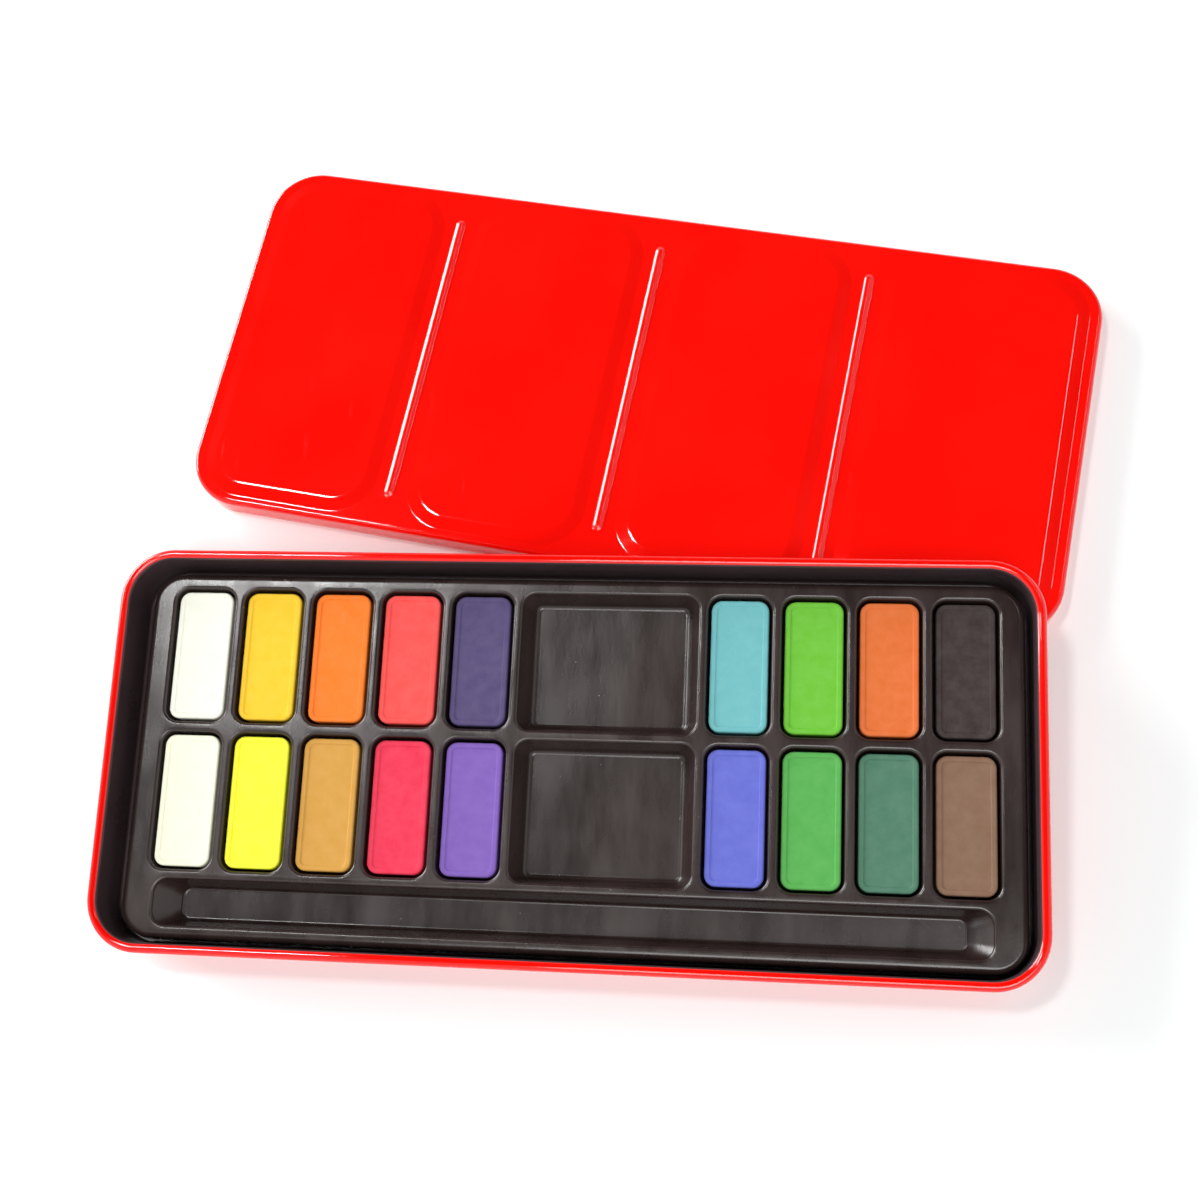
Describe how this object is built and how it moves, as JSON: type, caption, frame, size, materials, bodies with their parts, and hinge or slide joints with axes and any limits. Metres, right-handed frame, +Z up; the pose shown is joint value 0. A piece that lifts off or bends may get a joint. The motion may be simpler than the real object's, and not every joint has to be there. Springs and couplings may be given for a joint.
{
  "type": "watercolour paint set",
  "caption": "Open pressed tin with a formed insert of dry paint blocks, mixing wells and a brush trough, leaning on its loose slip-on lid.",
  "frame": {"origin": "on the surface that the set lies on, under the middle of its bounding box", "axes": "+X along the open tin to the right, +Y back towards the lid, +Z up"},
  "size_m": [0.2324, 0.2061, 0.0215],
  "materials": {
    "red_enamel": "gloss enamel on tin plate",
    "black_insert": "semi-gloss formed sheet",
    "white_cake": "dry pressed watercolour, matte",
    "golden_yellow_cake": "dry pressed watercolour, matte",
    "orange_cake": "dry pressed watercolour, matte",
    "vermilion_cake": "dry pressed watercolour, matte",
    "navy_cake": "dry pressed watercolour, matte",
    "turquoise_cake": "dry pressed watercolour, matte",
    "light_green_cake": "dry pressed watercolour, matte",
    "burnt_orange_cake": "dry pressed watercolour, matte",
    "black_cake": "dry pressed watercolour, matte",
    "cream_cake": "dry pressed watercolour, matte",
    "lemon_yellow_cake": "dry pressed watercolour, matte",
    "ochre_cake": "dry pressed watercolour, matte",
    "crimson_cake": "dry pressed watercolour, matte",
    "violet_cake": "dry pressed watercolour, matte",
    "cobalt_blue_cake": "dry pressed watercolour, matte",
    "emerald_green_cake": "dry pressed watercolour, matte",
    "viridian_cake": "dry pressed watercolour, matte",
    "brown_cake": "dry pressed watercolour, matte"
  },
  "bodies": {
    "tin": {"tin_base": "red_enamel"},
    "insert": {"insert_tray": "black_insert", "white_paint": "white_cake", "golden_yellow_paint": "golden_yellow_cake", "orange_paint": "orange_cake", "vermilion_paint": "vermilion_cake", "navy_paint": "navy_cake", "turquoise_paint": "turquoise_cake", "light_green_paint": "light_green_cake", "burnt_orange_paint": "burnt_orange_cake", "black_paint": "black_cake", "cream_paint": "cream_cake", "lemon_yellow_paint": "lemon_yellow_cake", "ochre_paint": "ochre_cake", "crimson_paint": "crimson_cake", "violet_paint": "violet_cake", "cobalt_blue_paint": "cobalt_blue_cake", "emerald_green_paint": "emerald_green_cake", "viridian_paint": "viridian_cake", "brown_paint": "brown_cake"},
    "lid": {"tin_lid": "red_enamel"}
  },
  "joints": [
    {"name": "insert_lift", "type": "slide", "parent": "tin", "child": "insert", "axis": [0, -0.0835, 0.9965], "range_m": [0, 0.03]},
    {"name": "lid_slide", "type": "slide", "parent": "tin", "child": "lid", "axis": [0.1587, 0.9873, 0], "range_m": [0, 0.08]}
  ]
}
